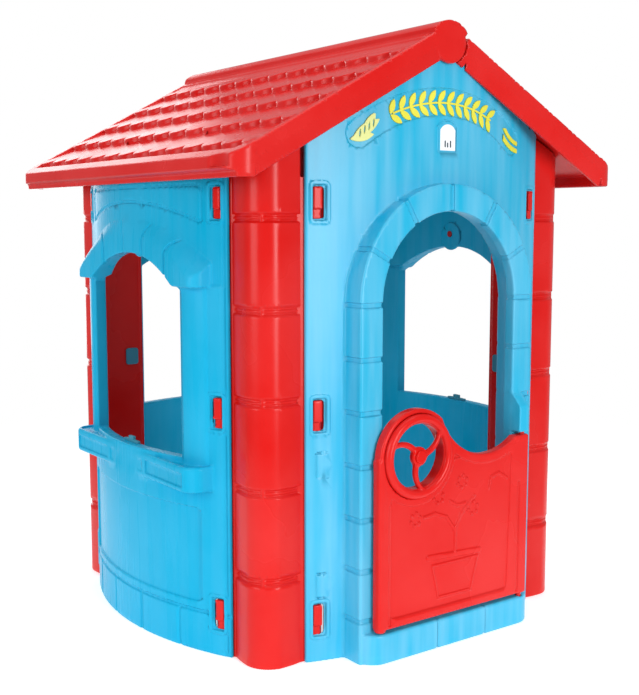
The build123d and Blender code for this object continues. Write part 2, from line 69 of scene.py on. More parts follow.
COARSE = 1.0


# ---------------------------------------------------------------- positions from the frame, mm
def mm_box(node):
    low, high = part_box(node)
    return np.array(low) * 1000, np.array(high) * 1000


WALL_HIGH = mm_box("left_wall")[1]
DOOR_LOW, DOOR_HIGH = mm_box("door")
WHEEL_LOW, WHEEL_HIGH = mm_box("steering_wheel")
ROOF_LOW, ROOF_HIGH = mm_box("roof_right")
ROLL_LOW, ROLL_HIGH = mm_box("roof_left")
EYE = (WHEEL_LOW + WHEEL_HIGH) / 2
HINGE = Vector(frame["joints"][0]["pos_m"]) * 1000

WALL_HALF = WALL_HIGH[1]        # half length of a wall
SIDE_TOP = WALL_HIGH[2]
HALF = 429.0                    # outer faces of the posts
END_OUT = 434.4                 # a wall's outer face at its ends
THICK_HALF = 262.0              # half length of a wall's thick middle
WALL_THICK, FLANGE = 27, 8
SIDE_APEX, UPPER_APEX, GABLE_APEX = HALF + 84, HALF + 64, HALF + 55
SHOULDER = 775.0                # where the side walls step back
SLOTS = (90.0, 515.0, 940.0)    # heights of the hooks' slots
SLOT_AT = 294.0                 # and their place along a wall

WINDOW = (207, 412, 762, 73)    # half width, bottom, spring and rise of an opening
BACK_WINDOW = (246, 416, 785, 60)
DOORWAY = (183, -50, 740, 183)
COLUMN_AT = 245
TAB_RADIUS = 37
SHELF_FRONT, SHELF_HALF, SHELF_ROUND = 511.0, 288, 38
HOOD_FRONT, HOOD_HALF, HOOD_ROUND = 497.0, 283, 30
HOOD_TOP, HOOD_END_FALL, HOOD_FOOT = 907, 86, 770
FRAME_OUT = 509                 # front of the stone-block frame
SILL_OUT, SILL_TOP = 535, 64
BANNER_Z, BANNER_RADIUS, BANNER_HALF = 800, 348, 28

EAVES = ROOF_HIGH[0]
EAVES_BOTTOM = 984
ROOF_SLOPE = 0.5423
# these turn a height above the slope into a distance from it, for the roof and the ends under it
ROOF_LEAN, TRIM_LEAN = 0.879, 0.88
RIDGE_TOP, GABLE_TOP = 1308, 1276
TILE, COURSE, STEP = 75.0, 88.0, 11.0
ROLL_Z, ROLL_RADIUS = 1252, 60
DISC_Z, DISC_RADIUS = 1268, 43

POST_HALF, POST_ROUND = 52, 57.0
BLOCK = 182                     # height of a post's block

EYE_RADIUS = 98
RING_AT, RING_RADIUS = 79, 9.5  # the wheel's ring and its tube


# ---------------------------------------------------------------- distance fields
def either(a, b, r=0.0):
    """Union, with a fillet of radius r."""
    if not r:
        return np.minimum(a, b)
    return np.maximum(r, np.minimum(a, b)) - np.hypot(np.maximum(r - a, 0), np.maximum(r - b, 0))


def both(a, b, r=0.0):
    """Intersection, with edges rounded to radius r."""
    if not r:
        return np.maximum(a, b)
    return np.minimum(-r, np.maximum(a, b)) + np.hypot(np.maximum(r + a, 0), np.maximum(r + b, 0))


def cut(a, b, r=0.0):
    return both(a, -b, r)


def between(value, low, high):
    return np.abs(value - (low + high) / 2) - (high - low) / 2


def rect(a, b, mid_a, mid_b, half_a, half_b, r=0.0):
    da = np.abs(a - mid_a) - half_a + r
    db = np.abs(b - mid_b) - half_b + r
    return np.hypot(np.maximum(da, 0), np.maximum(db, 0)) + np.minimum(np.maximum(da, db), 0) - r


def arc_radius(half, rise):
    """Radius of an arc from its half width and its rise."""
    return (half**2 + rise**2) / (2 * rise)


def arch(u, z, half, bottom, spring, rise):
    """Opening with upright sides and a round or segmental arch."""
    radius = arc_radius(half, rise)
    top = np.hypot(u, np.maximum(z - (spring + rise - radius), 0)) - radius
    return np.maximum(np.maximum(np.abs(u) - half, bottom - z), top)


def rod(a, b, start, end, r):
    """Distance in a plane from a round-ended bar."""
    da, db = end[0] - start[0], end[1] - start[1]
    t = np.clip(((a - start[0]) * da + (b - start[1]) * db) / (da * da + db * db), 0, 1)
    return np.hypot(a - start[0] - t * da, b - start[1] - t * db) - r


def ease(value, low, high):
    t = np.clip((value - low) / (high - low), 0, 1)
    return t * t * (3 - 2 * t)


def bow(u, o, apex):
    """How far a point lies outside a bowed wall face."""
    radius = arc_radius(WALL_HALF, apex - END_OUT)
    return np.hypot(u, o - apex + radius) - radius


def channel(body, line, width, depth):
    """Cuts a mortar channel into every face of a body along a line."""
    return cut(body, both(np.abs(line) - width / 2, -(body + depth), 1.5), 1.5)


def slot_frames(wall, out, u, z, rows=SLOTS):
    """Raised rims, shallow seats and through slots for the hooks."""
    for height in rows:
        near = rect(np.abs(u), z, SLOT_AT, height, 18, 39, 8)
        rim = both(np.abs(near) - 3.5, np.abs(out + 1) - 3, 1.5)
        wall = either(wall, rim, 1.5)
        seat = both(near + 4, -(out + 4), 2)
        wall = cut(wall, seat, 1)
        wall = cut(wall, rect(np.abs(u), z, SLOT_AT, height, 11, 31, 5))
    return wall


def tab(u, o, z, height, apex):
    """Half-round tab on the inner face over a window."""
    return both(np.hypot(u, z - height) - TAB_RADIUS, np.abs(o - (apex - 29)) - 4, 2)


# ---------------------------------------------------------------- the mouldings
def side_wall(u, o, z):
    """Window bay with shelf, hood, columns and a sunk lower panel."""
    low, high = bow(u, o, SIDE_APEX), bow(u, o, UPPER_APEX)
    step = ease(z, SHOULDER - 4, SHOULDER + 4)
    out = low * (1 - step) + high * step
    side = np.abs(u)
    thick = both(both(out, -(out + WALL_THICK), 3), side - THICK_HALF, 2)
    wall = either(thick, both(both(out, -(out + FLANGE), 2), side - WALL_HALF, 2))
    wall = both(wall, between(z, 0, SIDE_TOP), 3)
    # sunk panel, base line and its short upright ticks
    wall = cut(wall, both(rect(u, z, 0, 209, 256, 101, 16), -(low + 4), 2), 2)
    wall = cut(wall, both(np.abs(z - 88) - 3.5, -(low + 3), 1.5), 2)
    for tick in (-195, -65, 65, 195):
        mark = both(np.abs(u - tick) - 3, z - 88)
        wall = cut(wall, both(mark, -(low + 2.5), 1.5), 1.5)
    # rounded columns beside the window
    bulge = low - 8 * np.sqrt(np.clip(1 - ((side - COLUMN_AT) / 33) ** 2, 0, 1))
    limits = np.maximum(np.abs(side - COLUMN_AT) - 31, between(z, 395, 790))
    wall = either(wall, both(both(bulge, -(low + 6)), limits, 2), 3)
    # straight shelf with round ends and three sunk bricks
    shelf_plan = rect(u, o, 0, SHELF_FRONT - 100, SHELF_HALF, 100, SHELF_ROUND)
    shelf = both(both(shelf_plan, np.abs(z - 377) - 27, 6), -(low + 7))
    for brick in (-176, 0, 176):
        sunk = both(rect(u, z, brick, 375, 80, 14, 4), -(shelf_plan + 4), 2)
        shelf = cut(shelf, sunk, 2)
    hollow = rect(u, o, 0, SHELF_FRONT - 80, SHELF_HALF - 12, 72, SHELF_ROUND - 10)
    shelf = cut(shelf, both(hollow, 400 - z, 1), 2)
    wall = either(wall, shelf, 3)
    # brick hood, which slopes out from the set-back wall to a straight lip
    big = arc_radius(HOOD_HALF, HOOD_END_FALL)
    top = np.hypot(u, z - (HOOD_TOP - big)) - big
    rise = np.clip(-top / 46, 0, 1)
    front_at = (o - high) + (HOOD_FRONT - (o - high)) * np.sin(rise * np.pi / 2)
    hood_plan = rect(u, o, 0, HOOD_FRONT - 100, HOOD_HALF, 100, HOOD_ROUND)
    hood = both(both((o - front_at) * 0.8, hood_plan, 3), top, 3)
    hood = both(both(hood, HOOD_FOOT - z, 4), -(high + 7))
    for foot, lift in ((-124, -41), (-24, -7), (68, 32), (168, 33)):
        line = foot + lift * (1 - rise) ** 2
        joint = both(np.abs(u - line) - 3.2, -(hood + 3), 1)
        hood = cut(hood, joint, 2)
    wall = cut(either(wall, hood, 4), arch(u, z, *WINDOW), 4)
    # raised panel over the hood
    bend = arc_radius(256, 44)
    panel = both(rect(u, z, 8, 935, 250, 41, 16), bend - np.hypot(u, z - (945 - bend)), 8)
    line = both(np.abs(panel) - 3.2, -(high + 2.4), 1.2)
    wall = cut(wall, line, 2)
    # rounded bead down each upright edge
    bead = both(np.abs(side - (WALL_HALF - 9)) - 3, -(out + 2), 1)
    wall = cut(wall, bead, 2)
    wall = slot_frames(wall, out, u, z)
    return either(wall, tab(u, o, z, 862, UPPER_APEX))


def gable_wall(u, o, z):
    """Bowed wall up to the roof, and the distance outside its face."""
    out = bow(u, o, GABLE_APEX)
    side = np.abs(u)
    thick = both(both(out, -(out + WALL_THICK), 3), side - THICK_HALF, 2)
    wall = either(thick, both(both(out, -(out + FLANGE), 2), side - WALL_HALF, 2))
    wall = both(wall, (z - GABLE_TOP + ROOF_SLOPE * side + 2) * TRIM_LEAN, 2)
    return both(wall, -z, 3), out


def front_wall(u, o, z):
    """Doorway wall with its stone-block frame, sill and banner recess."""
    wall, out = gable_wall(u, o, z)
    side = np.abs(u)
    # banner recess with round ends, and the label's outline
    spread = math.radians(37.5)
    sine, cosine = math.sin(spread), math.cos(spread)
    lift = z - BANNER_Z
    band = both(
        np.abs(np.hypot(u, lift) - BANNER_RADIUS) - BANNER_HALF,
        np.maximum(side * cosine - lift * sine, -lift),
    )
    end_cap = np.hypot(side - BANNER_RADIUS * sine, lift - BANNER_RADIUS * cosine) - BANNER_HALF
    wall = cut(wall, both(np.minimum(band, end_cap), -(out + 3), 1.5), 2)
    wall = cut(wall, both(np.abs(arch(u - 5, z, 27, 1045, 1097, 14)) - 2, -(out + 2), 1), 1.5)
    for height in (160, 412):
        line = np.abs(rect(side, z, 288.5, height, 13.5, 26, 4)) - 1.5
        wall = cut(wall, both(line, -(out + 1.8), 0.8), 0.8)
    wall = slot_frames(wall, out, u, z)
    # stone-block frame
    half, bottom, spring = DOORWAY[:3]
    outer = arch(u, z, half + 58, bottom, spring, half + 58)
    inner = arch(u, z, *DOORWAY)
    stone = both(both(outer, -inner, 3), o - FRAME_OUT, 5)
    stone = both(stone, -(out + WALL_THICK))
    stone = both(stone, -z)
    for joint in (90, 195, 301, 411, 520, 628, 737):
        stone = channel(stone, z - joint, 10, 3.5)
    for angle in (-63, -31.5, 0, 31.5, 63):
        turn = math.radians(angle)
        across = u * math.cos(turn) - (z - spring) * math.sin(turn)
        along = u * math.sin(turn) + (z - spring) * math.cos(turn)
        stone = cut(stone, both(both(np.abs(across) - 5, -(stone + 3.5), 1.5), -along), 1.5)
    # upper hinge block with its sloping top
    slope = ((o - FRAME_OUT) * 28 + (z - 526) * 26) / 38.2
    block = both(both(slope, o - SILL_OUT, 3), 440 - z, 3)
    block = both(block, np.maximum(np.abs(u - 198) - 15, 480 - o), 3)
    wall = either(wall, stone, 3)
    wall = either(wall, block, 2)
    behind = both(arch(u, z, half + 24, bottom, spring, half + 5), o - 484)
    wall = cut(wall, both(np.minimum(inner, behind), SILL_TOP - z), 2)
    # sill with round front corners and two upright joints
    sill = both(rect(u, o, 0, SILL_OUT - 53, 239, 53, 45), between(z, 0, SILL_TOP), 6)
    for joint in (-49, 87):
        sill = cut(sill, both(np.abs(u - joint) - 2.5, -(sill + 2), 1), 1.5)
    wall = either(wall, sill, 2)
    socket = np.hypot(u - HINGE[0], o + HINGE[1]) - 6.6
    return cut(wall, both(socket, np.minimum(between(z, 42, 70), between(z, 430, 458))))


def back_wall(u, o, z):
    """Gable wall with a wide window and a sunk lower panel."""
    wall, out = gable_wall(u, o, z)
    window = arch(u, z, *BACK_WINDOW)
    frame_line = both(np.abs(window - 22) - 3, -(out + 2.5), 1.5)
    wall = cut(wall, both(frame_line, np.abs(u) - 255), 1.5)
    wall = cut(wall, both(rect(u, z, 0, 209, 250, 120, 16), -(out + 4), 2), 2)
    wall = cut(wall, window, 4)
    wall = slot_frames(wall, out, u, z)
    return either(wall, tab(u, o, z, 872, GABLE_APEX))


def post(x, y, z):
    """Front left post: six blocks parted by double lines, with its hooks."""
    a, b = -x, -y
    mid = HALF - POST_HALF
    r = np.where((a > mid) & (b > mid), POST_ROUND, 5.0)
    bulged_a = a + 5 * np.clip((mid - b) / POST_HALF, 0, 1) ** 2
    bulged_b = b + 5 * np.clip((mid - a) / POST_HALF, 0, 1) ** 2
    da, db = np.abs(bulged_a - mid) - POST_HALF + r, np.abs(bulged_b - mid) - POST_HALF + r
    plan = np.hypot(np.maximum(da, 0), np.maximum(db, 0)) + np.minimum(np.maximum(da, db), 0) - r
    # double lines at the joints between blocks, not at the ends
    near = np.abs((z + BLOCK / 2) % BLOCK - BLOCK / 2)
    near = np.where((z < BLOCK / 2) | (z > 5.5 * BLOCK), 99.0, near)
    body = plan + 5.5 * (1 - ease(near, 4.5, 11)) - 2.2 * (1 - ease(near, 1.0, 4.0))
    body = either(body, rect(a, b, 360, 360, 52, 52, 4), 2)
    body = both(body, (z - 1270 + ROOF_SLOPE * a) * TRIM_LEAN, 2)
    body = both(body, -z, 3)
    # plates behind the walls' edges, and the hooks in their slots
    side_out, front_out = bow(b, a, SIDE_APEX), bow(a, b, GABLE_APEX)
    for u, out in ((b, side_out), (a, front_out)):
        plate = both(between(out, -24, -8.5), between(u, 285, 334))
        body = either(body, both(plate, between(z, 0, 990), 1))
    for height in SLOTS:
        if height > SHOULDER:
            side_out = bow(b, a, UPPER_APEX)
        for u, out in ((b, side_out), (a, front_out)):
            hook = rect(u, z, SLOT_AT + 4, height + 9, 9, 22, 2.5)
            hook = both(hook, between(out, -12, 2.5), 2)
            foot = rect(u, z, SLOT_AT + 4, height - 22, 9, 10, 2)
            body = either(body, either(hook, both(foot, between(out, -12, -1.5), 1.5)), 1)
    return body


def roof(s, y, z, roll):
    """One roof half; s is the level distance from the ridge."""
    front, back = ROOF_LOW[1], ROOF_HIGH[1]
    fall = (z - RIDGE_TOP + ROOF_SLOPE * s) * ROOF_LEAN
    plan = rect(s, y, 0, (front + back) / 2, EAVES, (back - front) / 2, 45)
    inner_plan = plan + 19
    # overlapping courses of round-ended tiles
    across = (y - 15 + 10 * TILE) % TILE - TILE / 2
    scallop = 18 * (1 - np.abs(across / (TILE / 2)) ** 2.6)
    deck = fall + 13
    for row in range(5):
        edge = 112 + COURSE * row
        lean = fall + STEP * (edge - s) / COURSE
        tile = both((s - edge - scallop) * 0.8, lean, 2)
        deck = either(deck, np.maximum(tile, edge - COURSE - 24 - s))
    deck = both(deck, inner_plan - 1, 1)
    plain = both(fall + 3 * ease(s, 62, 68), s - 100)
    rim = both(both(fall + 1, -inner_plan, 2), plan, 3)
    body = either(either(deck, both(plain, inner_plan)), rim, 1)
    body = both(body, -(fall + 28))
    # eaves board in two bands, and the barge boards
    eaves = both(plan, -(plan + 32))
    eaves = both(eaves, both(fall, EAVES_BOTTOM - z, 3), 3)
    eaves = both(eaves, 476 - s)
    board_edge = np.maximum(-(fall + 56), EAVES_BOTTOM - z)
    lean_in = 9 * np.clip((fall + 28) / 28, 0, 1) + 6 * np.clip((-fall - 30) / 26, 0, 1)
    near_end = ease(between(y, front + 60, back - 60), -40, 0)
    barge = both(plan + lean_in * near_end, -(plan + 13))
    barge = both(barge, both(fall, board_edge, 3), 4)
    low_lip = both(both(between(plan, -15, -7), between(fall, -58, -50), 2), EAVES_BOTTOM - z, 2)
    body = either(body, either(either(eaves, barge), low_lip), 1.5)
    # the left half's eaves have a sunk lower band, the right half's a sunk upper one
    if roll:
        scoop = np.hypot(s - EAVES - 89, y - (front + 45)) - 98
        body = cut(body, np.maximum(scoop, 1004 - z), 2)
        body = both(body, s - EAVES + 16 * (1 - ease(z, 992, 1001)), 2)
    else:
        body = both(body, s - EAVES + 17 * ease(z, 982, 1004), 2)
    return both(body, -s + 0.4)


def roof_left(x, y, z):
    """Left half with the ridge roll and its round ends."""
    half = roof(-x, y, z, True)
    dome = np.hypot(x, z - ROLL_Z) - ROLL_RADIUS
    ring = both(dome, -(dome + 8))
    ends = between(y, ROLL_LOW[1], ROLL_HIGH[1])
    lip = both(both(ring, np.abs(x) - 45, 3), both(1270 - z, ends, 3))
    fill = both(both(dome, np.abs(x + 22) - 22), both(1262 - z, ends, 3))
    disc = both(np.hypot(x, z - DISC_Z) - DISC_RADIUS, np.abs(ends + 6) - 6, 4)
    return either(either(half, either(lip, fill), 2), disc, 2)


def roof_right(x, y, z):
    """Right half, cut clear of the left half's roll and round ends."""
    half = roof(x, y, z, False)
    under_roll = np.hypot(x, z - ROLL_Z) - ROLL_RADIUS + 9
    half = np.maximum(half, np.where(x < 47, under_roll, -50.0))
    end = 14 + between(y, ROLL_LOW[1], ROLL_HIGH[1])
    return cut(half, both(np.hypot(x, z - DISC_Z) - DISC_RADIUS - 1.5, -end))


# ---------------------------------------------------------------- door and wheel
def circle_through(p, q, r):
    """Centre and radius of the circle through three points."""
    (ax, ay), (bx, by), (cx, cy) = p, q, r
    d = 2 * (ax * (by - cy) + bx * (cy - ay) + cx * (ay - by))
    a2, b2, c2 = ax**2 + ay**2, bx**2 + by**2, cx**2 + cy**2
    x = (a2 * (by - cy) + b2 * (cy - ay) + c2 * (ay - by)) / d
    y = (a2 * (cx - bx) + b2 * (ax - cx) + c2 * (bx - ax)) / d
    return x, y, math.hypot(ax - x, ay - y)


DIP = circle_through((EYE[0] + 86, EYE[2] + 38), (82, 406), (172, 434))


def door_outline(u, z, inset):
    """The door seen from the front: slab, raised free side, hinge side and round eye."""
    dip = np.hypot(u - DIP[0], z - DIP[1]) - DIP[2]
    body = rect(u, z, 0, 248.5, 212.5, 176.5, 4)
    wing = both(rect(u, z, 30, 425, 142, 38), -dip)
    shape = either(body, either(wing, rect(u, z, 190, 400, 22.5, 34, 4)))
    shape = either(shape, np.hypot(u - EYE[0], z - EYE[2]) - EYE_RADIUS, 6)
    return both(shape, -dip) + inset


BLOOMS = ((14, 354), (-53, 330), (-116, 291), (46, 292))


def plant(u, z):
    """Line relief of a potted plant with dotted flowers."""
    rim = rod(u, z, (-79, 203), (66, 196), 6)
    sides = np.maximum(-(u + 68) + (181 - z) * 0.25, (u - 61) + (181 - z) * 0.28)
    pot = np.abs(np.maximum(sides, np.maximum(z - 184, 113 - z))) - 2.5
    shape = either(rim, pot)
    for start, end in (
        ((-5, 206), (-4, 256)), ((-4, 256), (12, 284)), ((12, 284), (50, 318)),
        ((-4, 250), (-30, 284)), ((-30, 284), (-62, 296)), ((-62, 296), (-92, 292)),
        ((-20, 316), (1, 304)), ((1, 304), (24, 306)), ((94, 330), (100, 352)),
        ((100, 352), (122, 358)), ((122, 358), (147, 344)),
    ):
        shape = either(shape, rod(u, z, start, end, 3.2), 2)
    for bu, bz in BLOOMS:
        for turn in range(6):
            du, dz = 13 * math.cos(turn * 1.047 + 0.3), 13 * math.sin(turn * 1.047 + 0.3)
            shape = either(shape, np.hypot(u - bu - du, z - bz - dz) - 4)
    return shape


def door(x, y, z):
    """Half door with a sunk field, rolled edges, the plant and the wheel's seat."""
    u, o = x, -y
    front, back = -DOOR_LOW[1], -DOOR_HIGH[1]
    middle = (front + back) / 2
    eye = np.hypot(u - EYE[0], z - EYE[2])
    slab = both(door_outline(u, z, 0), between(o, back, front), 5)
    panel = np.maximum(door_outline(u, z, 20), EYE_RADIUS + 6 - eye)
    panel = both(panel, np.maximum(-(u + 182), u - 150 - (z - 100) * 0.03), 8)
    panel = both(panel, 92 - z, 8)
    field = both(panel, -(o - front + 3), 1)
    slab = cut(slab, field, 2)
    back_field = np.maximum(door_outline(u, z, 26), EYE_RADIUS + 10 - eye)
    slab = cut(slab, both(back_field, o - back - 3, 1), 2)
    relief = both(plant(u, z), between(o, front - 6, front - 0.6), 1.5)
    slab = either(slab, relief, 1.5)
    rolls = np.minimum(
        both(np.hypot(u + 201, o - middle) - 12, between(z, DOOR_LOW[2], EYE[2] + 6), 4),
        both(np.hypot(u - HINGE[0], o - middle) - 12, between(z, 72, 434), 3),
    )
    slab = either(slab, rolls, 2)
    slab = cut(slab, eye - 71, 2)
    ring_mid = -WHEEL_LOW[1] - RING_RADIUS
    slab = cut(slab, np.hypot(eye - RING_AT, o - ring_mid) - RING_RADIUS - 0.9)
    slab = cut(slab, both(eye - RING_AT, -(o - front + 8)), 1)
    groove = np.minimum(np.abs(u + 184) - 3, np.abs(u - 183) - 3)
    slab = cut(slab, both(both(groove, between(z, 80, 330)), -(o - front + 2.5), 1), 2)
    slab = cut(slab, both(eye - 78.5, o - back - 6), 0.5)
    pin = np.hypot(u - HINGE[0], o + HINGE[1]) - 6.05
    return cut(slab, both(pin, np.minimum(z - 92, 414 - z)))


def wheel(x, y, z):
    """Ring with its sleeve and clip, hub and three curved spokes."""
    u, h, o = x - EYE[0], z - EYE[2], -y
    r = np.hypot(u, h)
    mid = -WHEEL_LOW[1] - RING_RADIUS
    back = -WHEEL_HIGH[1]
    rim = np.hypot(r - RING_AT, o - mid) - RING_RADIUS
    sleeve = both(np.abs(r - 69.4) - 1.2, between(o, back, mid), 0.5)
    clip = both(between(r, 68.4, 77.7), between(o, back, back + 5), 1)
    shape = either(rim, either(sleeve, clip, 1), 2)
    hub = both(r - 20, between(o, mid - 9, mid + 5), 5)
    turn = np.degrees(np.arctan2(h, u))
    for spoke in range(3):
        path = 246 + 120 * spoke + 38 * (r / RING_AT) ** 1.6
        off = (turn - path + 540) % 360 - 180
        arm = np.hypot(r * np.sin(np.radians(off)), (o - mid + 2) * 1.1) - 6.6
        arm = np.maximum(arm, np.maximum(np.abs(off) - 80, r - RING_AT))
        hub = either(hub, arm, 5)
    return either(shape, hub, 4)


# ---------------------------------------------------------------- trim on the gable
def on_gable(shape, depth, proud):
    """A print or badge that follows the bowed front wall."""

    def field(x, y, z):
        out = bow(x, -y, GABLE_APEX)
        return both(shape(x, z), between(out, -depth, proud), 0.8)

    return field


def leaf(u, z, mid_u, mid_z, lean, length, width):
    """Pointed oval of a half length and a half width, turned by lean degrees."""
    turn = math.radians(lean)
    a = (u - mid_u) * math.cos(turn) + (z - mid_z) * math.sin(turn)
    b = -(u - mid_u) * math.sin(turn) + (z - mid_z) * math.cos(turn)
    radius = arc_radius(length, width)
    return np.maximum(np.hypot(a, b - width + radius), np.hypot(a, b + width - radius)) - radius


def garland(u, z):
    """Leaves in pairs along the banner, joined by a thin stem."""
    middle = BANNER_RADIUS - 2
    shape = both(np.abs(np.hypot(u, z - BANNER_Z) - middle) - 2, np.abs(u) - 136)
    for index in range(12):
        angle = math.radians(-22.5 + 45 * index / 11)
        for side in (-1, 1):
            radius = middle + 13 * side
            mid_u, mid_z = radius * math.sin(angle), BANNER_Z + radius * math.cos(angle)
            lean = 90 - math.degrees(angle) - side * 38
            shape = np.minimum(shape, leaf(u, z, mid_u, mid_z, lean, 16, 6.6))
    return shape


def wing(u, z):
    """Three broad leaves that fan out from one stalk."""
    shape = leaf(u, z, -196, 1086, 34, 36, 11)
    for mid_u, mid_z, lean in ((-205, 1070, 12), (-190, 1096, 58)):
        shape = np.minimum(shape, leaf(u, z, mid_u, mid_z, lean, 27, 9))
    for index in range(4):
        vein = leaf(u, z, -210 + 10 * index, 1077 + 7 * index, 85, 9, 1.6)
        shape = cut(shape, vein)
    return shape


def stripes(u, z):
    """Two curved stripes side by side."""
    ring = np.hypot(u - 250, z - 1150)
    pair = np.minimum(np.abs(ring - 78) - 4.5, np.abs(ring - 94) - 5)
    return both(pair, rect(u, z, 203, 1078, 33, 27), 2)


def label(u, z):
    return arch(u - 5, z, 21, 1049, 1091, 12)


def mark(u, z):
    """Three small plain bars, the middle one lower."""
    left, middle, right = (
        rod(u, z, (at, 1057), (at, top), 1.9) for at, top in ((-3, 1068), (4, 1064), (12, 1068))
    )
    return either(either(left, middle), right)


# ---------------------------------------------------------------- small parts
def plugs(x, y, z):
    """The two plugs in the inner faces of the front left post."""
    one = both(rect(-x, z, 340, 563, 17, 21, 7), between(-y, 305, 308.5), 1.2)
    two = both(rect(-y, z, 340, 563, 17, 21, 7), between(-x, 305, 308.5), 1.2)
    return either(one, two)


def catch(u, o, z):
    """Small two-step catch on a window sill."""
    base = both(rect(u, z, 0, 415, 33, 3, 1), between(o, 489, 497), 1)
    pin = both(rect(u, z, 0, 419, 11, 7, 2), between(o, 489, 497), 1.5)
    arms = both(rod(u, z, (-22, 416), (22, 416), 3), between(o, 491, 495), 1)
    return either(either(base, pin), arms)


def facing(shape, side):
    """Turns a shape drawn in a wall's own axes to its side of the house."""

    def field(x, y, z):
        u, o = {"front": (x, -y), "back": (-x, y), "left": (-y, -x)}[side]
        return shape(u, o, z)

    return field


# ---------------------------------------------------------------- meshing
def sculpt(shape, low, high, step, adaptivity=0.0):
    """Mesh of a distance field, with each corner pulled onto it and normals from its slope."""
    step = step * COARSE
    low = np.array(low, float) - 3 * step
    counts = np.ceil((np.array(high, float) + 3 * step - low) / step).astype(int) + 1
    axes = [low[i] + step * np.arange(counts[i]) for i in range(3)]
    x, y, z = (a.astype(np.float32) for a in axes)
    values = shape(x[:, None, None], y[None, :, None], z[None, None, :])
    values = np.clip(np.broadcast_to(values, tuple(counts)) / step, -3, 3).astype(np.float32)
    grid = vdb.FloatGrid(background=3.0)
    grid.copyFromArray(np.ascontiguousarray(values))
    points, tris, quads = grid.convertToPolygons(0.0, adaptivity)
    points = points.astype(np.float64) * step + low
    for _ in range(2):
        slope = gradient(shape, points)
        gap = np.clip(shape(*points.T), -0.6 * step, 0.6 * step)
        points -= 0.8 * gap[:, None] * slope
    points = np.clip(points, BOX_LOW, BOX_HIGH)
    return points, tris, quads, gradient(shape, points)


def gradient(shape, points, reach=0.5):
    slope = np.empty_like(points)
    for axis in range(3):
        ahead, behind = points.copy(), points.copy()
        ahead[:, axis] += reach
        behind[:, axis] -= reach
        slope[:, axis] = shape(*ahead.T) - shape(*behind.T)
    length = np.linalg.norm(slope, axis=1, keepdims=True)
    return slope / np.maximum(length, 1e-6)


def place(name, form, body, nodes, material, flip=(1, 1)):
    """Makes an object of a sculpted form, mirrored in x or y where flip says so."""
    points, tris, quads, normals = form
    scale = np.array([flip[0], flip[1], 1.0])
    if flip[0] * flip[1] < 0:
        tris, quads = tris[:, ::-1], quads[:, ::-1]
    corners = np.concatenate([tris.ravel(), quads.ravel()]).astype(np.int32)
    sizes = np.concatenate([np.full(len(tris), 3), np.full(len(quads), 4)])
    mesh = bpy.data.meshes.new(name)
    mesh.vertices.add(len(points))
    mesh.vertices.foreach_set("co", (points * scale / 1000).astype(np.float32).ravel())
    mesh.loops.add(len(corners))
    mesh.loops.foreach_set("vertex_index", corners)
    mesh.polygons.add(len(sizes))
    mesh.polygons.foreach_set("loop_start", (np.cumsum(sizes) - sizes).astype(np.int32))
    mesh.update(calc_edges=True)
    mesh.validate()
    mesh.polygons.foreach_set("use_smooth", np.ones(len(mesh.polygons), bool))
    mesh.normals_split_custom_set_from_vertices((normals * scale).tolist())
    mesh.materials.append(material)
    piece = bpy.data.objects.new(name, mesh)
    bpy.context.scene.collection.objects.link(piece)
    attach(piece, body)
    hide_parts(*nodes)


# ---------------------------------------------------------------- materials
def plastic(name, colour, roughness=0.32, flow_and_reflection_streaks=0.0, grain=0.05, tint=0.06, gloss=0.28):
    """Moulded plastic: slight colour drift, upright pale streaks, uneven gloss and a fine grain.
    Faint streaks stand for flow marks; strong ones are painted reflection.
    """
    material = bpy.data.materials.new(name)
    material.use_nodes = True
    tree = material.node_tree
    shader = tree.nodes["Principled BSDF"]
    shader.inputs["IOR"].default_value = 1.49
    shader.inputs["Specular IOR Level"].default_value = gloss
    place_at = tree.nodes.new("ShaderNodeTexCoord")
    flow = tree.nodes.new("ShaderNodeMapping")
    flow.inputs["Scale"].default_value = (1.0, 1.0, 0.08)
    tree.links.new(place_at.outputs["Object"], flow.inputs["Vector"])

    def noise(scale, detail, vector):
        node = tree.nodes.new("ShaderNodeTexNoise")
        node.inputs["Scale"].default_value = scale
        node.inputs["Detail"].default_value = detail
        tree.links.new(vector, node.inputs["Vector"])
        return node.outputs["Fac"]

    def spread(value, low, high):
        node = tree.nodes.new("ShaderNodeMapRange")
        node.inputs["From Min"].default_value = 0.3
        node.inputs["From Max"].default_value = 0.7
        node.inputs["To Min"].default_value = low
        node.inputs["To Max"].default_value = high
        tree.links.new(value, node.inputs["Value"])
        return node.outputs["Result"]

    def blended(factor, first, second):
        node = tree.nodes.new("ShaderNodeMix")
        node.data_type = "RGBA"
        tree.links.new(factor, node.inputs["Factor"])
        for socket, value in ((node.inputs["A"], first), (node.inputs["B"], second)):
            if isinstance(value, tuple):
                socket.default_value = (*value, 1.0)
            else:
                tree.links.new(value, socket)
        return node.outputs["Result"]

    drift = noise(5.0, 3.0, place_at.outputs["Object"])
    streaks = noise(38.0, 2.0, flow.outputs["Vector"])
    deep = tuple(c * (1 - 2 * tint) for c in colour)
    pale = tuple(c + (1 - c) * tint * 0.5 for c in colour)
    base = blended(spread(drift, 0.0, 1.0), deep, pale)
    # pale streaks mixed into the colour: faint ones stand for flow marks, strong ones are painted
    # reflection of the front light
    if flow_and_reflection_streaks:
        pale_flow_and_reflection = tuple(c + (1 - c) * 0.35 for c in colour)
        base = blended(spread(streaks, 0.0, flow_and_reflection_streaks), base, pale_flow_and_reflection)
    tree.links.new(base, shader.inputs["Base Color"])
    uneven = spread(streaks if flow_and_reflection_streaks else drift, roughness - 0.04, roughness + 0.05)
    tree.links.new(uneven, shader.inputs["Roughness"])
    bump = tree.nodes.new("ShaderNodeBump")
    bump.inputs["Strength"].default_value = grain
    bump.inputs["Distance"].default_value = 0.001
    tree.links.new(noise(420.0, 3.0, place_at.outputs["Object"]), bump.inputs["Height"])
    tree.links.new(bump.outputs["Normal"], shader.inputs["Normal"])
    return material


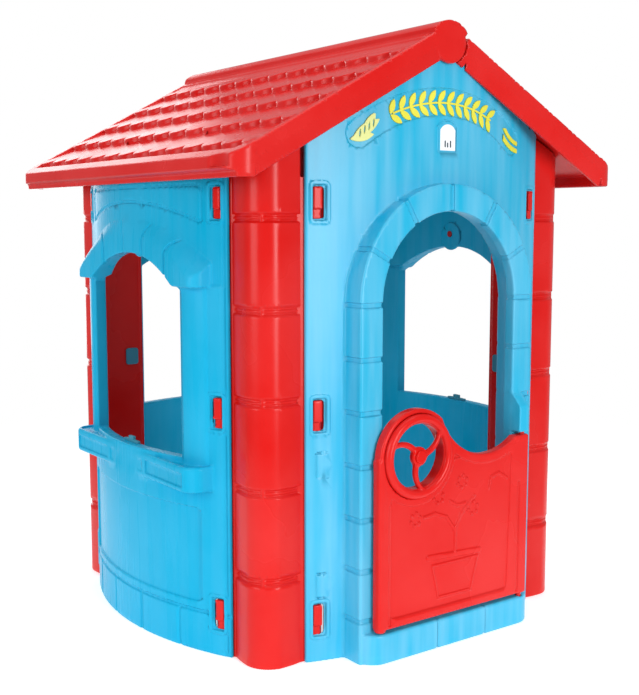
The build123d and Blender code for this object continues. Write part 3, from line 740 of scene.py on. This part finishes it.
RED = plastic("red_moulding", (0.65, 0.006, 0.004), 0.25, tint=0.03, gloss=0.2)
DARK_RED = plastic("red_small_part", (0.30, 0.008, 0.01), 0.4, tint=0.04)
BLUE = plastic("blue_moulding", (0.0, 0.40, 0.66), 0.28, flow_and_reflection_streaks=0.04, tint=0.04, gloss=0.07)
# the front wall's copy of the blue, with strong pale streaks painted in as reflection of the front
# light
FRONT_BLUE_PAINTED_REFLECTION = plastic(
    "blue_front_moulding_painted_reflection", (0.0, 0.41, 0.66), 0.34, flow_and_reflection_streaks=0.24, tint=0.04, gloss=0.4
)
GREY_BLUE = plastic("blue_small_part", (0.03, 0.27, 0.38), 0.4)
YELLOW = plastic("yellow_print", (0.80, 0.75, 0.05), 0.4, tint=0.08)
PALE_YELLOW = plastic("pale_yellow_print", (0.80, 0.84, 0.30), 0.4, tint=0.08)
WHITE = plastic("white_label", (0.88, 0.9, 0.92), 0.35, tint=0.02)
DARK = plastic("dark_print", (0.02, 0.04, 0.06), 0.5)

# ---------------------------------------------------------------- building the pieces
wall_form = sculpt(facing(side_wall, "left"), (-514, -322, 0), (-404, 322, 1000), 3.2, 0.02)
place("left_wall_bay", wall_form, "house", ["left_wall"], BLUE)
place("right_wall_bay", wall_form, "house", ["right_wall"], BLUE, (-1, 1))

front_form = sculpt(facing(front_wall, "front"), (-322, -536, 0), (322, -405, 1276), 3.2, 0.02)
place("front_wall_doorway", front_form, "house", ["front_wall"], FRONT_BLUE_PAINTED_REFLECTION)
back_form = sculpt(facing(back_wall, "back"), (-322, 405, 0), (322, 486, 1276), 3.6, 0.02)
place("back_wall_window", back_form, "house", ["back_wall"], BLUE)

post_form = sculpt(post, (-445, -445, 0), (-285, -285, 1110), 3.0, 0.02)
CORNERS = ((1, 1), (-1, 1), (1, -1), (-1, -1))
POSTS = ("front_left_post", "front_right_post", "back_left_post", "back_right_post")
for name, flip in zip(POSTS, CORNERS):
    place(name + "_blocks", post_form, "house", [name], RED, flip)

roof_form = sculpt(roof_left, ROLL_LOW, ROLL_HIGH, 3.6, 0.02)
place("roof_left_tiles", roof_form, "house", ["roof_left"], RED)
roof_form = sculpt(roof_right, ROOF_LOW, ROOF_HIGH, 3.6, 0.02)
place("roof_right_tiles", roof_form, "house", ["roof_right"], RED)

door_form = sculpt(door, DOOR_LOW, DOOR_HIGH, 2.0, 0.01)
place("half_door", door_form, "door", ["door"], RED)
wheel_form = sculpt(wheel, WHEEL_LOW, WHEEL_HIGH, 1.4, 0.0)
place("wheel_with_spokes", wheel_form, "wheel", ["steering_wheel"], RED)

for name, shape, proud, box_node, slot, material in (
    ("banner_leaves", garland, 0.4, "banner_garland", "yellow_print", YELLOW),
    ("banner_leaf", wing, 0.4, "banner_wing", "pale_yellow_print", PALE_YELLOW),
    ("banner_curves", stripes, 0.4, "banner_stripes", "yellow_print", YELLOW),
    ("gable_badge", label, 0.6, "gable_label", "white_label", WHITE),
    ("badge_bars", mark, 1.2, "label_mark", "dark_print", DARK),
):
    low, high = mm_box(box_node)
    form = sculpt(on_gable(shape, 3.2, proud), low - 12, high + 12, 1.2, 0.0)
    place(name, form, "house", [box_node], material)

plug_form = sculpt(plugs, (-360, -360, 540), (-300, -300, 590), 1.5)
for index, flip in enumerate(CORNERS):
    name = f"post_plug_{index + 1}"
    place(name, plug_form, "house", ["post_plugs"], GREY_BLUE, flip)

catch_form = sculpt(facing(catch, "left"), (-500, -36, 408), (-486, 36, 428), 1.0)
for name, flip in (("left_catch", (1, 1)), ("right_catch", (-1, 1))):
    place(name, catch_form, "house", ["sill_catches"], GREY_BLUE, flip)

for node, material in (
    ("hinge_pin_upper", RED), ("hinge_pin_lower", RED), ("hub_cap", RED), ("tab_pins", DARK_RED),
):
    materials = frame["nodes"][node].data.materials
    materials.clear()
    materials.append(material)


# ---------------------------------------------------------------- stage, light and camera
def stage_floor():
    """Pale floor that fades out into the backdrop."""
    mesh = bpy.data.meshes.new("floor")
    mesh.from_pydata([(-3, -3, 0), (3, -3, 0), (3, 3, 0), (-3, 3, 0)], [], [(0, 1, 2, 3)])
    material = bpy.data.materials.new("floor_white")
    material.use_nodes = True
    shader = material.node_tree.nodes["Principled BSDF"]
    shader.inputs["Base Color"].default_value = (0.9, 0.9, 0.9, 1)
    shader.inputs["Roughness"].default_value = 0.9
    shader.inputs["Specular IOR Level"].default_value = 0.1
    shader.inputs["Emission Color"].default_value = (1, 1, 1, 1)
    shader.inputs["Emission Strength"].default_value = 0.45
    tree = material.node_tree
    where = tree.nodes.new("ShaderNodeTexCoord")
    length = tree.nodes.new("ShaderNodeVectorMath")
    length.operation = "LENGTH"
    fade = tree.nodes.new("ShaderNodeMapRange")
    fade.interpolation_type = "SMOOTHSTEP"
    fade.inputs["From Min"].default_value = 0.9
    fade.inputs["From Max"].default_value = 2.6
    fade.inputs["To Min"].default_value = 1.0
    fade.inputs["To Max"].default_value = 0.0
    tree.links.new(where.outputs["Object"], length.inputs[0])
    tree.links.new(length.outputs["Value"], fade.inputs["Value"])
    tree.links.new(fade.outputs["Result"], shader.inputs["Alpha"])
    mesh.materials.append(material)
    floor = bpy.data.objects.new("floor", mesh)
    bpy.context.scene.collection.objects.link(floor)


def soft_light(name, position, target, size, power):
    data = bpy.data.lights.new(name, "AREA")
    data.shape = "RECTANGLE"
    data.size, data.size_y = size
    data.energy = power
    lamp = bpy.data.objects.new(name, data)
    lamp.location = position
    lamp.rotation_euler = (Vector(target) - Vector(position)).to_track_quat("-Z", "Y").to_euler()
    lamp.visible_camera = False
    bpy.context.scene.collection.objects.link(lamp)


stage_floor()
soft_light("overhead", (0.0, 0.0, 4.5), (0, 0, 0), (4, 4), 100)
soft_light("front_box", (-0.1, -4.2, 1.3), (0, 0, 0.8), (1.0, 2.4), 100)
soft_light("left_fill", (-4.2, -0.6, 1.6), (0, 0, 0.7), (2.0, 2.5), 75)
soft_light("back_box", (0.5, 4.2, 1.5), (0, 0, 0.9), (2.2, 2.8), 45)
soft_light("room_light", (0.0, 0.0, 1.12), (0, 0, 0), (0.5, 0.5), 1.2)

world = bpy.data.worlds.new("studio")
world.use_nodes = True
backdrop = world.node_tree.nodes["Background"]
backdrop.inputs["Color"].default_value = (1, 1, 1, 1)
ambient = world.node_tree.nodes.new("ShaderNodeBackground")
ambient.inputs["Color"].default_value = (0.96, 0.98, 1, 1)
ambient.inputs["Strength"].default_value = 0.42
rays = world.node_tree.nodes.new("ShaderNodeLightPath")
choice = world.node_tree.nodes.new("ShaderNodeMixShader")
for outlet, inlet in (
    (rays.outputs["Is Camera Ray"], choice.inputs["Fac"]),
    (ambient.outputs["Background"], choice.inputs[1]),
    (backdrop.outputs["Background"], choice.inputs[2]),
    (choice.outputs["Shader"], world.node_tree.nodes["World Output"].inputs["Surface"]),
):
    world.node_tree.links.new(outlet, inlet)
bpy.context.scene.world = world
bpy.context.scene.view_settings.view_transform = "Standard"

yaw, pitch = math.radians(35.79), math.radians(6.7)
camera_data = bpy.data.cameras.new("camera")
camera_data.sensor_width = 36
camera_data.lens = 56.22
camera = bpy.data.objects.new("camera", camera_data)
camera.location = (-1.5521, -2.1871, 0.9057)
look = Vector((math.sin(yaw) * math.cos(pitch), math.cos(yaw) * math.cos(pitch), -math.sin(pitch)))
camera.rotation_euler = look.to_track_quat("-Z", "Y").to_euler()
bpy.context.scene.collection.objects.link(camera)
bpy.context.scene.camera = camera
